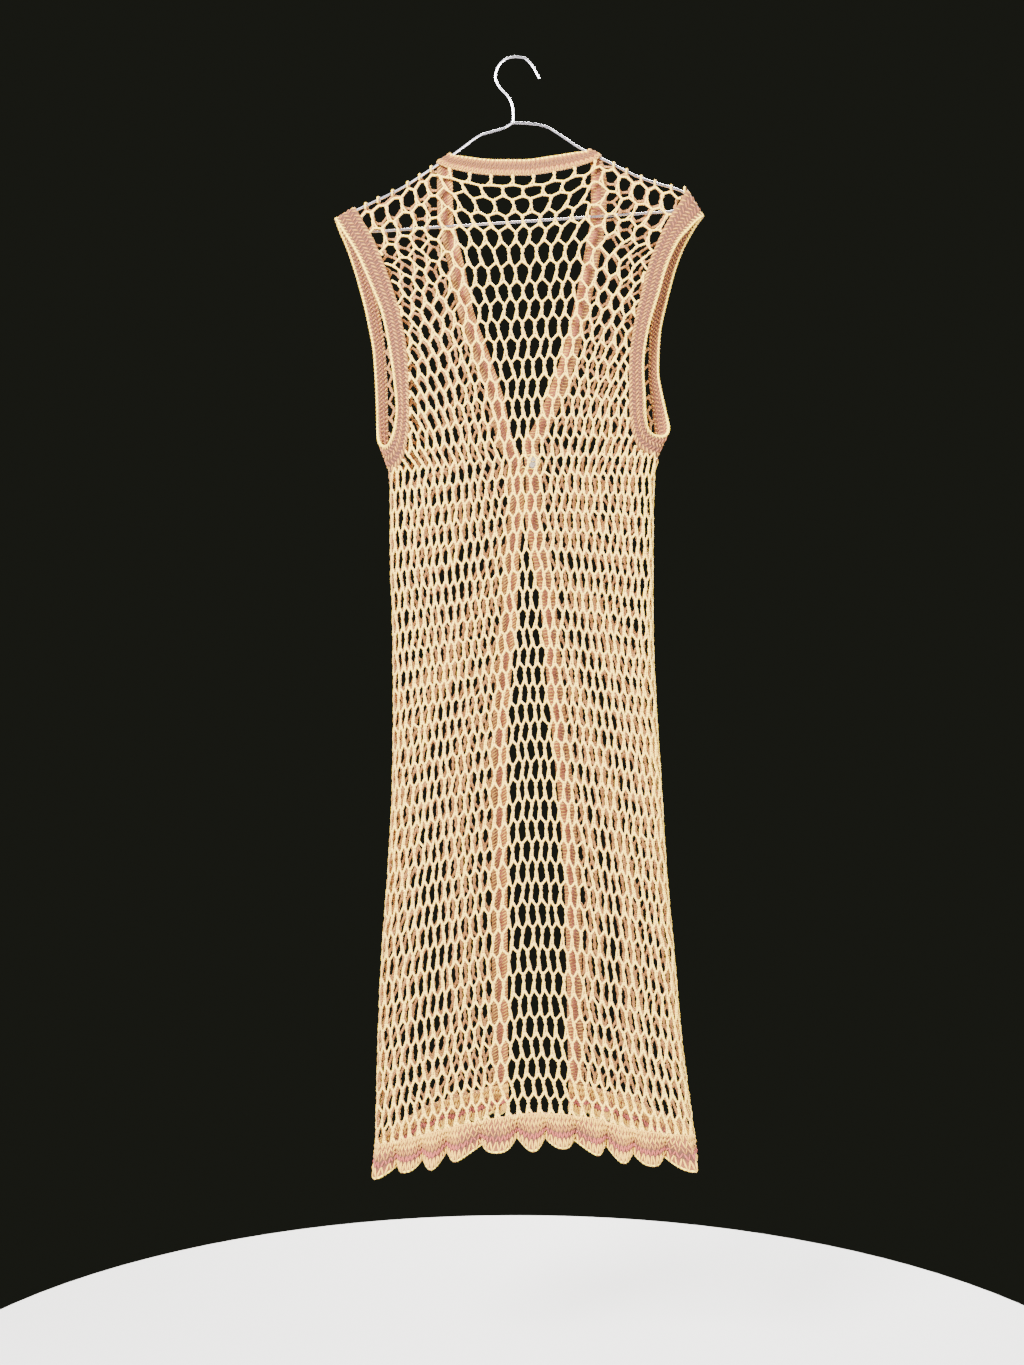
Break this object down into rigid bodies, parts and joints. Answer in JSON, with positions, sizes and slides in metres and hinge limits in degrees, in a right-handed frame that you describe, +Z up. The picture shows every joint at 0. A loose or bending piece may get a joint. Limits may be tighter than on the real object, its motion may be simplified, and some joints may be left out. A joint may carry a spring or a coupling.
{
  "type": "crochet net vest on a wire hanger",
  "caption": "Long sleeveless open-front vest in crochet net with solid bands, V neck and ruffled hem, on a thin wire hanger.",
  "frame": {"origin": "inside the top of the hanger's hook, where the rail or peg that holds it touches", "axes": "+Z is up, +Y points to the garment's front and -Y to its back, and +X to the wearer's right"},
  "size_m": [0.4312, 0.0671, 1.3027],
  "materials": {
    "net_yarn": "matt cream cotton yarn, crocheted as an open net",
    "band_yarn": "matt rows of solid crochet, from cream to dusty pink",
    "shell_button": "pearly, softly glossy",
    "hanger_wire": "smooth plated wire"
  },
  "bodies": {
    "root": {"back": "net_yarn", "front_left": "net_yarn", "front_left_side": "net_yarn", "front_right": "net_yarn", "front_right_side": "net_yarn", "neck_band": "band_yarn", "front_band_left": "band_yarn", "front_band_right": "band_yarn", "armhole_band_left": "band_yarn", "armhole_band_right": "band_yarn", "hem_ruffle_back": "band_yarn", "hem_ruffle_left": "band_yarn", "hem_ruffle_right": "band_yarn", "button": "shell_button", "hanger_hook": "hanger_wire", "hanger_frame": "hanger_wire"}
  },
  "joints": []
}
